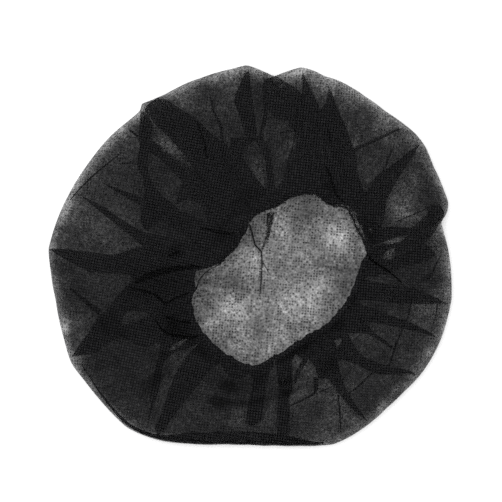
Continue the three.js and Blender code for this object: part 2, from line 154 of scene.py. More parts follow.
# Folds of the upper layer, on the way in from the outline (0) to the mouth's edge (1): between
# the two bearings the cloth lies three-fold. Each row is way, from, to.
foldRows = [
    [(0.14, 9.5, 9.5), (0.22, 7.5, 13), (0.3, 7, 13), (0.4, 7.2, 13), (0.5, 6, 12), (0.6, 4.5, 11.9),
     (0.63, 4, 10.6), (0.7, 3, 10.5), (0.75, 3, 12.5), (1, 0, 9)],
    [(0, 20.2, 20.2), (0.1, 17.3, 21.5), (0.2, 15.3, 21), (0.3, 13, 21), (0.4, 12.5, 20.3),
     (0.48, 12, 18.5), (0.55, 12.4, 17.6), (0.6, 12.6, 17.8), (0.625, 15.6, 18.2), (0.72, 15.7, 19.2),
     (0.75, 13, 19.6), (1, 8, 20)],
    [(0, 20.4, 20.4), (0.1, 20.8, 25.5), (0.2, 21, 26), (0.25, 21, 24), (0.35, 20.5, 22.6),
     (0.43, 19.6, 21.6), (0.53, 19.2, 23), (0.63, 19.5, 25), (0.75, 20.2, 27.2), (0.8, 20, 31),
     (1, 20, 34)],
    [(0.03, 44.1, 44.1), (0.15, 43, 44.7), (0.3, 41.5, 45.2), (0.45, 39.5, 46.2), (0.57, 37, 47.3),
     (0.65, 33, 46), (0.72, 28.5, 45.5), (0.78, 26.5, 47), (1, 26, 47)],
    [(0.2, 49.7, 49.7), (0.33, 48.1, 48.9), (0.42, 46.6, 47.5), (0.5, 46, 46.4), (0.72, 47, 47.2),
     (0.78, 45.5, 53), (1, 44, 58)],
    [(0.02, 50.6, 50.6), (0.1, 51.9, 52.6), (0.2, 53.5, 54.6), (0.32, 56, 57.4), (0.42, 58.6, 60.4),
     (0.5, 60, 60)],
    [(0.07, 75.9, 75.9), (0.1, 74.8, 75.8), (0.2, 72, 75.4), (0.3, 68, 76.5), (0.38, 64, 76.5),
     (0.44, 60.5, 76), (0.5, 57.5, 74), (0.58, 55, 72), (0.65, 52, 70), (0.71, 48.5, 69),
     (0.77, 45, 68), (1, 46, 66)],
    [(0.03, 83.8, 83.8), (0.1, 82, 83.5), (0.17, 80, 83.2), (0.25, 77, 83.3), (0.35, 75.5, 84),
     (0.45, 75, 84.2), (0.55, 73, 83.2), (0.65, 71, 84), (0.75, 69, 85.5), (0.81, 67, 88), (1, 66, 86)],
    [(0, 91.2, 91.2), (0.04, 89.5, 93.5), (0.06, 88.8, 94.4), (0.13, 86, 94.6), (0.2, 83, 94.7),
     (0.28, 83, 94.2), (0.31, 83.3, 92), (0.36, 83.3, 89.5), (0.45, 83.3, 85), (0.5, 83.2, 84),
     (0.81, 85.5, 87.5), (0.86, 84, 93), (1, 84, 94)],
    [(0.1, 94.6, 94.6), (0.2, 94.3, 95.4), (0.3, 94, 95.2), (0.37, 94.9, 96.2), (0.44, 96, 97.6),
     (0.5, 96.8, 98.4), (0.56, 94.5, 98), (0.66, 93.5, 97), (0.8, 93, 97), (1, 92, 98)],
    [(0.03, 98.3, 98.3), (0.1, 98.3, 101), (0.18, 98.4, 103.5), (0.23, 98.4, 104.2), (0.3, 98.5, 103.8),
     (0.45, 98.5, 103.5), (0.48, 98.6, 102.5), (0.52, 98.4, 99.5), (0.6, 98, 98.5), (0.84, 98.2, 98.5),
     (0.88, 98, 104), (1, 97, 106)],
    [(0.45, 109, 109), (0.475, 103.5, 110), (0.5, 99.7, 110.5), (0.52, 99.5, 110.5),
     (0.54, 105.5, 110.5), (0.62, 106.5, 111), (0.7, 104.5, 112), (0.76, 102.8, 112), (0.86, 98.8, 112),
     (1, 100, 112)],
    [(0.1, 110.5, 110.5), (0.25, 110.9, 111.7), (0.33, 110.3, 111.2), (0.38, 110.6, 111.8),
     (0.45, 111.9, 113.2), (0.52, 113.5, 114.8), (0.6, 112, 117), (1, 110, 118)],
    [(0, 124, 124), (0.03, 122.2, 128.5), (0.15, 119.5, 128.6), (0.2, 118.3, 128.2), (0.25, 117, 127.8),
     (0.37, 115, 127.4), (0.42, 113.5, 127.3), (0.47, 111.5, 127.5), (0.52, 111, 128),
     (0.8, 112, 129.5), (1, 112, 131)],
    [(0, 129.3, 129.3), (0.06, 128.6, 132), (0.13, 129.2, 135), (0.17, 132.3, 136.5), (0.22, 132, 136),
     (0.25, 131.7, 135.2), (0.3, 131.3, 134.8), (0.4, 129.6, 134.6), (0.5, 128, 134.6),
     (0.53, 128, 140), (0.555, 128, 144.5), (0.6, 128, 137.5), (0.68, 128, 136.5), (0.74, 128, 139),
     (0.78, 129, 142), (1, 130, 150)],
    [(0.03, 135, 135), (0.07, 134.6, 135.2), (0.12, 134.2, 134.9), (0.15, 134.4, 134.4)],
    [(0.15, 135.5, 135.5), (0.19, 135.5, 138), (0.23, 136, 141), (0.27, 138.5, 142.3),
     (0.32, 141, 143.5), (0.37, 142.5, 147), (0.4, 143.5, 152), (0.45, 144, 157), (0.5, 144.5, 160),
     (0.55, 144.5, 153.5), (0.6, 145, 153.5), (0.7, 143, 154), (0.78, 140, 156), (1, 140, 158)],
    [(0.13, 151.2, 151.2), (0.25, 150.3, 151.7), (0.38, 149, 151.8), (0.46, 148, 152), (0.7, 148, 154),
     (1, 148, 160)],
    [(0.07, 157, 157), (0.15, 157.1, 158.2), (0.22, 157.4, 159.2), (0.35, 159, 161.6),
     (0.45, 160.2, 163.8), (0.52, 160.5, 166), (0.6, 159.5, 167), (0.72, 158, 170), (0.8, 156, 170),
     (1, 155, 170)],
    [(0, 172.3, 172.3), (0.1, 171.8, 174.5), (0.18, 171.7, 176), (0.25, 171.6, 177.5),
     (0.38, 171.5, 177.8), (0.43, 170.5, 177.7), (0.47, 168.5, 177.6), (0.52, 166.5, 178.5),
     (0.56, 166.3, 180), (0.8, 168, 180.5), (1, 168, 181)],
    [(0.02, 200.3, 200.3), (0.1, 198, 201), (0.2, 195, 201.6), (0.27, 192, 200.6), (0.35, 190, 200),
     (0.41, 186.8, 199), (0.44, 185, 195), (0.5, 182, 191), (0.57, 180, 192.2), (0.65, 180, 193.8),
     (0.68, 180, 198), (1, 180, 199)],
    [(0.4, 198, 198), (0.45, 196, 201), (0.5, 196.2, 204), (0.57, 196, 207), (0.64, 195.5, 207),
     (0.7, 194, 209), (0.8, 196, 212), (1, 198, 214)],
    [(0.12, 227.5, 227.5), (0.25, 224.7, 225.6), (0.35, 220.8, 223.6), (0.45, 217.3, 221.2),
     (0.55, 214, 217), (0.62, 211, 215), (0.7, 206, 214.5), (0.8, 208, 216.5), (1, 208, 220)],
    [(0.04, 232, 232), (0.1, 229.9, 232.4), (0.25, 228.5, 232), (0.4, 226, 232), (0.5, 224, 232),
     (0.6, 222, 232), (0.7, 220.3, 232.2), (0.8, 219, 232.6), (0.87, 218.5, 234), (1, 218, 234)],
    [(0.78, 245, 245), (0.84, 238, 251), (0.9, 234, 252), (1, 234, 252)],
    [(0.22, 259.5, 259.5), (0.28, 256.6, 262.6), (0.5, 256, 263), (0.8, 255.5, 263.5),
     (0.88, 252.5, 266), (1, 252, 266)],
    [(0.08, 271.5, 271.5), (0.13, 269, 273.8), (0.5, 269.2, 274.8), (0.56, 269, 276.5),
     (0.66, 269.5, 277.5), (0.74, 268.5, 278), (0.84, 268, 278.2), (0.89, 267, 283), (1, 266, 283)],
    [(0.6, 278, 278), (0.66, 278.4, 280.6), (0.72, 280, 283.5), (0.78, 283, 288), (0.83, 286.8, 293),
     (0.88, 282, 297), (1, 281, 298)],
    [(0.03, 291.3, 291.3), (0.15, 292.7, 293.3), (0.27, 294.6, 295.4), (0.38, 296.6, 297.4),
     (0.42, 297.4, 297.4)],
    [(0.02, 302, 302), (0.1, 300.7, 301.8), (0.22, 299, 301.5), (0.3, 298.1, 301.3),
     (0.4, 297.7, 301.6), (0.5, 297, 302.5), (0.56, 295.8, 303.6), (0.6, 291.5, 304.6),
     (0.66, 291.8, 306.8), (0.72, 292.5, 309), (0.8, 290.3, 312), (1, 290, 312)],
    [(0.03, 325.2, 325.2), (0.1, 324, 325.3), (0.2, 320, 323.8), (0.27, 317, 322), (0.4, 314, 319.6),
     (0.5, 312.5, 317.9), (0.57, 310.3, 317.6), (0.66, 306.8, 318.8), (0.72, 306, 320.3),
     (0.78, 317.5, 322), (0.85, 308, 326), (1, 308, 326)],
    [(0.33, 328.7, 328.7), (0.38, 328.4, 329.5), (0.45, 328.6, 330.2), (0.55, 328.6, 330.6),
     (0.65, 328.5, 332), (0.7, 326.5, 333), (0.78, 322.5, 334.5), (0.85, 322, 335), (1, 320, 336)],
    [(0.04, 340, 340), (0.1, 339.7, 340.8), (0.2, 339.5, 341.3), (0.35, 338.7, 342),
     (0.5, 337.3, 342.3), (0.63, 336, 342.8), (0.7, 333.5, 343), (0.85, 332, 343.3), (0.9, 331, 347),
     (1, 331, 347)],
    [(0.03, 352.1, 352.1), (0.15, 351.3, 353.5), (0.25, 350.5, 354.6), (0.38, 349.8, 356.5),
     (0.5, 348.5, 357), (0.6, 348, 357.5), (0.8, 347.3, 358.5), (0.9, 345, 361), (1, 344, 363)],
]

# Where the upper layer is gathered closer or drawn out thinner than the rest: bearing, way,
# half spans of both, layers more or fewer
densityRows = [
    (2.5, 0.66, 3, 0.2, 0.8), (3, 0.35, 5, 0.2, 1.1), (12, 0.35, 5, 0.15, 0.5),
    (13.3, 0.69, 1.8, 0.055, -1.6), (19, 0.64, 1.2, 0.11, -2.4), (24.5, 0.03, 1.5, 0.04, 0.4),
    (26, 0.42, 2, 0.1, -0.3), (28.4, 0.865, 1.6, 0.022, -4), (29.4, 0.51, 3.4, 0.08, -1.7),
    (32, 0.13, 9, 0.11, 0.7), (32, 0.27, 8, 0.06, 0.45), (33, 0.935, 1.4, 0.018, -4),
    (34.5, 0.44, 5, 0.1, -0.95), (36, 0.985, 13, 0.03, -0.4), (36.5, 0.22, 2.5, 0.08, -0.5),
    (41.5, 0.935, 1.6, 0.02, -4), (43, 0.03, 2, 0.05, 0.4), (47, 0.22, 3, 0.14, 0.6),
    (48.5, 0.47, 2, 0.07, 0.7), (49.5, 0.63, 2, 0.04, -0.5), (51.5, 0.27, 2.5, 0.07, -0.5),
    (52, 0.4, 5, 0.16, 0.75), (54, 0.47, 1.6, 0.05, -0.6), (56, 0.2, 4, 0.13, -0.4),
    (57.5, 0.44, 1.2, 0.05, 0.5), (60.5, 0.4, 2, 0.05, -0.5), (63, 0.2, 5, 0.1, 0.4),
    (84.5, 0.56, 2, 0.06, -1.2), (88, 0.65, 5, 0.2, 0.2), (89.5, 0.4, 4, 0.035, -1.4),
    (91.5, 0.75, 1.6, 0.08, 0.5), (92.5, 0.45, 3.5, 0.12, 0.8), (94, 0.62, 2, 0.14, 0.8),
    (96.5, 0.2, 2, 0.1, 0.8), (97, 0.38, 1.6, 0.08, -0.3), (98, 0.73, 1.5, 0.04, 0.4),
    (101, 0.76, 3, 0.11, -1.2), (104, 0.6, 4, 0.07, 0.3), (107, 0.42, 3, 0.07, 0.2),
    (107.5, 0.22, 5, 0.17, 0.7), (114, 0.3, 2.5, 0.12, 0.2), (114.5, 0.14, 3, 0.06, 0.5),
    (129.8, 0.32, 2, 0.18, -0.9), (131.5, 0.26, 1, 0.06, -0.5), (137.5, 0.56, 5, 0.05, 0.5),
    (138, 0.38, 6, 0.14, 0.85), (140, 0.12, 8, 0.08, 0.4), (141, 0.68, 5, 0.11, 0.5),
    (147, 0.12, 5, 0.04, 0.4), (148, 0.3, 5, 0.14, 0.35), (151, 0.1, 8, 0.08, 0.4),
    (155, 0.3, 2.5, 0.14, 0.2), (156, 0.27, 1.2, 0.04, -0.5), (157, 0.6, 4, 0.13, 1.2),
    (165.5, 0.24, 4, 0.12, -0.3), (165.5, 0.34, 2, 0.05, 0.4), (169, 0.15, 2.5, 0.1, 0.3),
    (176, 0.01, 6, 0.04, 0.6), (177, 0.1, 3, 0.06, 0.5), (178, 0.36, 1.5, 0.06, 0.4),
    (178, 0.72, 3, 0.1, 0.5), (184, 0.3, 6, 0.2, 0.5), (186, 0.12, 6, 0.14, 0.7),
    (191, 0.46, 3, 0.08, 0.4), (194, 0.34, 3.5, 0.08, 0.8), (199.3, 0.43, 2.5, 0.05, 1),
    (201, 0.38, 1.6, 0.08, -0.7), (203, 0.2, 4, 0.12, 0.4), (205, 0.5, 5, 0.12, 1.1),
    (208, 0.36, 7, 0.12, 0.3), (209.5, 0.35, 3.5, 0.04, 0.7), (212, 0.26, 12, 0.28, 1.1),
    (212.4, 0.78, 1.3, 0.1, -2.6), (216, 0.4, 3.5, 0.1, -0.5), (218.5, 0.7, 2.5, 0.06, -1),
    (219, 0.43, 2.2, 0.14, 0.8), (220, 0.11, 3, 0.05, -0.7), (223, 0.48, 3, 0.1, -0.15),
    (234.5, 0.4, 1.8, 0.06, -0.7), (235, 0.44, 3.5, 0.12, -0.1), (236, 0.62, 5, 0.04, 0.5),
    (236, 0.74, 4, 0.09, 0.8), (238, 0.25, 9, 0.13, 0.35), (244, 0.38, 2, 0.06, 0.5),
    (244, 0.51, 5.5, 0.07, 3), (244.5, 0.7, 4.8, 0.09, 3), (246, 0.24, 2.8, 0.08, -0.5),
    (249, 0.42, 2, 0.06, 0.6), (250, 0.5, 23, 0.42, 0.4), (251.5, 0.72, 2.2, 0.17, 1.4),
    (253, 0.33, 2.8, 0.13, -0.8), (256, 0.52, 9, 0.05, 1.3), (257, 0.8, 7, 0.14, 0.8),
    (263, 0.26, 1.8, 0.06, 0.5), (266, 0.87, 4, 0.04, 1.2), (266.5, 0.28, 2.8, 0.1, -0.4),
    (266.5, 0.4, 2.6, 0.09, -0.55), (266.5, 0.66, 3, 0.17, 1.3), (272, 0.545, 6, 0.035, 1.3),
    (277, 0.75, 1.6, 0.07, 0.4), (280, 0.5, 4, 0.06, -0.6), (281, 0.24, 8, 0.14, 0.5),
    (281.5, 0.82, 3, 0.05, -1.1), (284, 0.38, 7, 0.04, 0.3), (284, 0.76, 4, 0.04, -0.5),
    (286, 0.05, 4, 0.06, 0.5), (287, 0.65, 5, 0.09, -0.5), (291, 0.3, 2.6, 0.15, -1.1),
    (292, 0.57, 2.6, 0.03, 0.7), (293, 0.25, 3, 0.12, 0.1), (293.5, 0.51, 3, 0.03, -0.3),
    (297, 0.25, 2.6, 0.1, -0.5), (307, 0.46, 5, 0.1, 0.45), (307.5, 0.57, 3, 0.035, -0.6),
    (308, 0.18, 8, 0.12, 0.85), (310, 0.27, 6, 0.07, 0.8), (313, 0.785, 4, 0.035, -0.8),
    (320, 0.6, 1.5, 0.04, -0.3), (322, 0.75, 4, 0.04, 0.3), (323, 0.5, 5, 0.12, 0.55),
    (331, 0.19, 9, 0.13, 0.7), (331.5, 0.57, 1.3, 0.08, 0.4), (333, 0.45, 3.5, 0.1, 0.6),
    (334, 0.6, 2.5, 0.05, 0.2), (343.4, 0.54, 0.9, 0.03, -1), (345.5, 0.7, 2.6, 0.2, 1),
    (349, 0.26, 2.6, 0.13, -0.6), (356, 0.14, 3, 0.1, -0.5), (358.5, 0.26, 4, 0.2, 1),
]

# Where the cloth turns round the outline stretched so thin that the light floods it, read as above
fringeRows = [
    (5, 0.07, 3, 0.05, -0.15), (17, 0, 4, 0.03, -0.5), (56, 0.04, 5, 0.06, -0.25),
    (70, 0.06, 3, 0.05, -0.2), (78, 0.04, 8, 0.08, -0.5), (79, 0.1, 2.5, 0.05, -0.25),
    (87, 0.02, 4, 0.05, -0.2), (88, 0.06, 3, 0.04, -0.2), (101, 0.03, 2, 0.03, -0.2),
    (105, 0.04, 4, 0.04, -0.25), (109, 0.03, 2, 0.03, -0.2), (132, 0.02, 4, 0.05, -0.4),
    (138, 0.04, 4, 0.03, -0.2), (147, 0, 10, 0.05, -0.3), (161, 0.03, 4, 0.04, -0.2),
    (193, 0.02, 1.5, 0.05, -0.6), (216, 0.03, 7, 0.03, -0.3), (254, 0.02, 4, 0.04, -0.4),
    (291, 0.06, 3, 0.04, -0.3), (314, 0.06, 7, 0.04, -0.5), (333, 0.04, 6, 0.06, -0.4),
    (345, 0.03, 3, 0.05, -0.3), (352, 0.05, 5, 0.06, -0.15), (357, 0.03, 2, 0.04, -0.25),
]

# Painted shade in the deep, close folds: the cloth's colour is darkened there as if its bond points
# caught little light. Read as bearing, way, half spans, share lost
paintedShadeRows = [
    (28, 0.87, 10, 0.05, 0.4), (60, 0.85, 6, 0.06, 0.35), (112, 0.85, 12, 0.06, 0.3),
    (140, 0.88, 9, 0.07, 0.4), (165, 0.72, 4, 0.04, 0.5), (182, 0.7, 9, 0.25, 0.3),
    (194, 0.34, 3.5, 0.08, 0.4), (199.3, 0.43, 2.5, 0.05, 0.4), (200, 0.86, 12, 0.12, 0.3),
    (204, 0.8, 6, 0.07, 0.4), (213, 0.6, 3, 0.08, 0.4), (218.5, 0.45, 3, 0.14, 0.45),
    (220, 0.88, 12, 0.05, 0.5), (244, 0.51, 5, 0.055, 0.7), (244.5, 0.7, 4.5, 0.08, 0.7),
    (257, 0.78, 6, 0.1, 0.3), (258, 0.52, 9, 0.045, 0.5), (273, 0.67, 5, 0.05, 0.7),
    (274, 0.56, 4, 0.05, 0.6), (285, 0.91, 16, 0.05, 0.5), (300, 0.65, 8, 0.08, 0.4),
    (323, 0.9, 8, 0.05, 0.45),
]

# Closer and thinner cloth of the base as it shows in the mouth: plan point and span in shares of
# mouthReach, layers more or fewer
baseSpots = [
    (0.38, 0.84, 0.28, 0.16, 0.3), (0.92, 0.05, 0.22, 0.3, 0.35), (0.62, 0.2, 0.22, 0.12, 0.2),
    (-0.62, -0.07, 0.22, 0.12, 0.25), (-0.08, -0.14, 0.2, 0.1, 0.25), (-0.95, 0, 0.2, 0.3, 0.2),
    (0.6, -0.45, 0.3, 0.2, 0.15), (-0.3, -0.62, 0.14, 0.2, 0.15), (0.2, 0.25, 0.25, 0.12, 0.1),
    (0.02, 0.8, 0.14, 0.16, -0.3), (0.8, 0.65, 0.18, 0.22, -0.35), (1.12, 0.4, 0.14, 0.1, -0.25),
    (-0.66, -0.38, 0.2, 0.12, -0.35), (-0.9, -0.6, 0.14, 0.1, -0.2), (0.3, -0.36, 0.28, 0.2, -0.25),
    (-0.4, 0.34, 0.16, 0.14, -0.2), (-0.1, -0.95, 0.2, 0.14, -0.2), (0.1, 0, 1.2, 0.9, 0.08),
]

# Hairpin creases of the upper layer: share of its colour that each keeps (below 1 a painted shade
# that draws the crease as a dark line), its height above the layer in millimetres, and along its line
# bearing, way and width in millimetres
upperCreases = [
    (1, 0, [(8.7, 0.1, 0.8), (5.5, 0.17, 1.6), (2.5, 0.22, 2), (0, 0.26, 2)]),
    (0.5, 0, [(12, 0.12, 0.6), (13.5, 0.35, 1.2), (14.8, 0.58, 1.2)]),
    (1, 0, [(26, 0.15, 0.6), (26.3, 0.4, 1.1), (26.8, 0.6, 0.8)]),
    (0.3, 1.5, [(69, 0.71, 0.7), (66, 0.75, 1.3), (62, 0.81, 1.3), (58, 0.87, 1.5), (53, 0.91, 1.3),
     (48, 0.95, 0.8)]),
    (0.3, 1.5, [(72, 0.42, 0.8), (70, 0.52, 1)]),
    (1, 0, [(83.5, 0.48, 1), (90, 0.44, 1)]),
    (0.3, 1.5, [(117.5, 0.25, 1), (119, 0.4, 1.2), (121, 0.48, 0.8)]),
    (1, 0, [(143.7, 0.16, 1.3), (142, 0.2, 1.9), (140, 0.27, 1.3)]),
    (0.8, 0, [(142, 0.11, 0.9), (150, 0.065, 1.3), (159, 0.02, 0.9)]),
    (0.8, 0, [(182.5, 0.11, 1.6), (187, 0.2, 3.6), (191, 0.29, 5)]),
    (0.12, 1.5, [(183.5, 0.53, 1.2), (184.5, 0.6, 1.6), (187.5, 0.71, 1.8), (191.5, 0.78, 1.6),
     (192, 0.82, 1.5), (190, 0.87, 1.2), (188.5, 0.95, 0.8)]),
    (0.12, 1.5, [(198.5, 0.7, 0.8), (203, 0.72, 1.3), (207, 0.76, 1.7), (210, 0.82, 1.7),
     (213, 0.86, 1.7), (215.5, 0.97, 1.2)]),
    (0.12, 1.5, [(198, 0.78, 1.1), (202, 0.85, 1.6), (205, 0.92, 1.6), (207, 0.98, 1)]),
    (0.8, 0, [(275, 0.41, 1.1), (281, 0.44, 1.5), (287, 0.48, 1.8), (290, 0.52, 1.8)]),
    (0.8, 0, [(289, 0.485, 1), (297, 0.465, 1.4), (303, 0.465, 1)]),
    (0.8, 0, [(287.5, 0.485, 1.5), (290, 0.54, 4), (292, 0.61, 4.5)]),
    (0.8, 0, [(299.5, 0.33, 1.1), (308, 0.325, 1.5), (316, 0.34, 1.3)]),
    (0.8, 0, [(317, 0.285, 1.3), (322, 0.275, 1.7), (326, 0.31, 1.7), (331, 0.35, 1.5),
     (338, 0.37, 1.5), (344, 0.365, 1.3), (350, 0.38, 1.5), (355, 0.41, 1.9), (358, 0.49, 2.2)]),
    (1, 0, [(343, 0.115, 0.8), (348, 0.11, 1.2), (352.5, 0.13, 1)]),
    (0.1, 1.5, [(-1, 0.51, 1), (5, 0.66, 1.3), (10, 0.8, 1.5), (14, 0.91, 1.5), (17, 0.97, 1)]),
    (1, 0, [(203, 0.06, 0.6), (210, 0.035, 1.4), (220, 0.015, 2.4), (228, 0.008, 3), (240, 0.008, 2.6),
     (256, 0.008, 2.6), (266, 0.008, 4), (273, 0.008, 5.5), (279, 0.01, 3.5), (285, 0.02, 1)]),
    (0.9, 0, [(226, 0.01, 0.6), (234, 0.014, 4), (241, 0.018, 8), (250, 0.02, 9.8), (260, 0.02, 9.8),
     (268, 0.02, 9), (275, 0.016, 6.5), (280, 0.012, 3.5), (284, 0.01, 1)]),
    (0.25, 1.5, [(181.5, 0.56, 2), (179.5, 0.64, 5), (177, 0.74, 5), (174.5, 0.83, 4.2),
     (171, 0.93, 1.5)]),
    (0.3, 1.5, [(163, 0.74, 1.5), (165.5, 0.7, 3), (168, 0.69, 1)]),
    (0.3, 1.5, [(132, 0.95, 1), (140, 0.88, 2.2), (146, 0.76, 1.2)]),
]

# Creases of the base as they show in the mouth: layers, and along each line its plan point in
# shares of mouthReach and its width in millimetres
baseCreases = [
    (1, [(-0.411, 0.746, 1.4), (-0.335, 0.463, 1.3), (-0.255, 0.377, 1.4)]),
    (0.46, [(-0.168, 0.9, 6.4), (-0.17, 0.78, 4.6), (-0.173, 0.62, 2.9), (-0.215, 0.49, 2),
     (-0.256, 0.4, 1.6)]),
    (1, [(-0.255, 0.39, 1.3), (-0.245, 0.242, 1.3), (-0.263, -0.128, 1), (-0.275, -0.215, 0.3)]),
    (0.8, [(-0.23, 0.232, 1.1), (-0.125, 0.06, 0.5)]),
]


def smoothStep(value, start, end):
    share = np.clip((value - start) / (end - start), 0.0, 1.0)
    return share * share * (3 - 2 * share)


def softNoise(x, y, size, seed):
    # smooth unevenness from about -1 to 1, with swellings about size millimetres across
    random = np.random.default_rng(seed)
    total = np.zeros(np.broadcast(x, y).shape)
    for wave in range(7):
        angle = random.uniform(0, 2 * math.pi)
        length = 2 * size * random.uniform(0.75, 1.6)
        shift = random.uniform(0, 2 * math.pi)
        total += np.sin(2 * math.pi * (x * math.cos(angle) + y * math.sin(angle)) / length + shift)
    return total / 4.0


def roundTable(rows, column, size, blur):
    # a table's column as a function of the bearing, its corners eased over about blur degrees
    step = 0.25
    fine = np.arange(0.0, 360.0, step)
    straight = np.interp(fine, [row[0] for row in rows], [row[column] * size for row in rows], period=360)
    shifts = range(-12, 13)
    weights = np.exp(-0.5 * (np.array(shifts) * step / blur) ** 2)
    weights /= weights.sum()
    eased = sum(weight * np.roll(straight, shift) for weight, shift in zip(weights, shifts))
    return lambda bearing: np.interp(np.mod(bearing, 360.0), fine, eased, period=360)


solidOutline = roundTable(outlineRows, 1, crown["rimReach"], blur=0.45)
solidMouth = roundTable(mouthRows, 1, crown["mouthReach"], blur=1.2)
neckTop = roundTable(mouthRows, 2, crown["neckHeight"], blur=3.0)
rimInset = roundTable(rimTrim, 1, 1.0, blur=1.2)
mouthInset = roundTable(mouthTrim, 1, 1.0, blur=1.5)


def outlineReach(bearing):
    return solidOutline(bearing) - rimInset(bearing)


def mouthEdge(bearing):
    return solidMouth(bearing) - mouthInset(bearing)


def crownEdge(bearing):
    bearings, notches = np.array(notchRows).T
    return mouthEdge(bearing) + crown["hemCover"] + np.interp(np.mod(bearing, 360.0), bearings, notches)


def wayIn(bearing, reach):
    # 0 at the outline and 1 at the mouth's edge
    outer = outlineReach(bearing)
    return (outer - reach) / (outer - mouthEdge(bearing))


def turnFrom(start, bearing):
    # degrees from one bearing to another, -180 to 180
    return (bearing - start + 180) % 360 - 180


def planPoint(bearing, reach):
    angle = np.radians(bearing)
    return np.cos(angle) * reach, np.sin(angle) * reach


def topProfile(bearing, reach):
    # height of the upper layer without its folds: rounded at the outline, rising to the mouth
    outer = outlineReach(bearing)
    start = outer - crown["rimRound"]
    inset = np.clip((reach - start) / crown["rimRound"], 0.0, 1.0)
    rounded = crown["rimRound"] * (1 + np.sqrt(1 - inset ** 2))
    rise = np.clip((start - reach) / (start - mouthEdge(bearing)), 0.0, 1.0)
    return rounded + (neckTop(bearing) - 2 * crown["rimRound"]) * rise ** crown["neckBend"]


def puffs(x, y, share):
    # the light cloth swells between its folds, not at the outline
    large, small = crown["puffSizes"]
    swell = softNoise(x, y, large, 11) + 0.5 * softNoise(x, y, small, 12)
    return crown["puffHeight"] * swell * smoothStep(share, 0.0, 0.25)


def upperHeight(x, y):
    bearing = np.degrees(np.arctan2(y, x))
    reach = np.hypot(x, y)
    start = outlineReach(bearing) - crown["rimRound"]
    share = (start - reach) / (start - mouthEdge(bearing))
    return topProfile(bearing, reach) + puffs(x, y, np.clip(share, 0, 1))


def baseHeight(x, y):
    ripple = crown["baseRipple"] * softNoise(x, y, crown["rippleSize"], 21)
    return np.maximum(crown["baseRise"] + ripple, crown["baseLeast"])


def spots(rows, bearing, way):
    # the sum of spots at a bearing and a way in, each even in its middle and soft at its edge
    total = np.zeros(np.shape(bearing))
    for spotBearing, spotWay, spanBearing, spanWay, value in rows:
        across = turnFrom(spotBearing, bearing) / spanBearing
        total += value * np.exp(-(across ** 2 + ((way - spotWay) / spanWay) ** 2) ** 1.5)
    return total


def foldEdges():
    # the folds' low and high edges at every stop on the way in, clear of each other
    ways = np.linspace(0.0, 1.0, crown["wayStops"])
    lowEdge = []
    highEdge = []
    for rows in foldRows:
        at, low, high = [list(column) for column in zip(*rows)]
        if at[-1] < 1:
            middle = (low[-1] + high[-1]) / 2
            at.append(at[-1] + crown["foldTip"])
            low.append(middle)
            high.append(middle)
        lowEdge.append(np.interp(ways, at, low))
        highEdge.append(np.interp(ways, at, high))
    for fold in range(1, len(foldRows)):
        closed = highEdge[fold] - lowEdge[fold] < 0.01
        highEdge[fold] = np.maximum(highEdge[fold], lowEdge[fold - 1] + crown["foldSpace"])
        lowEdge[fold] = np.where(closed, highEdge[fold], lowEdge[fold])
    return np.array(lowEdge), np.array(highEdge)


def layRuns(lowEdge, highEdge):
    # the runs of cloth round the cap: on to the next fold, and back over it
    runs = []
    for fold in range(len(foldRows)):
        turn = 360.0 if fold == 0 else 0.0
        onward = np.max(highEdge[fold] + turn - lowEdge[fold - 1])
        back = np.max(highEdge[fold] - lowEdge[fold])
        runs.append((fold, False, max(2, math.ceil(onward / crown["columnStep"]))))
        runs.append((fold, True, max(2, math.ceil(back / crown["backStep"]))))
    return runs


def upperReach(row, bearing):
    # the rows first turn round the outline and then run in to the crown's edge
    outer = outlineReach(bearing)
    if row < crown["rimRows"]:
        angle = math.pi / 2 * row / crown["rimRows"]
        return outer - crown["rimRound"] * (1 - math.cos(angle))
    start = outer - crown["rimRound"]
    inward = (row - crown["rimRows"]) / (crown["topRows"] - 1)
    return start + (crownEdge(bearing) - start) * inward


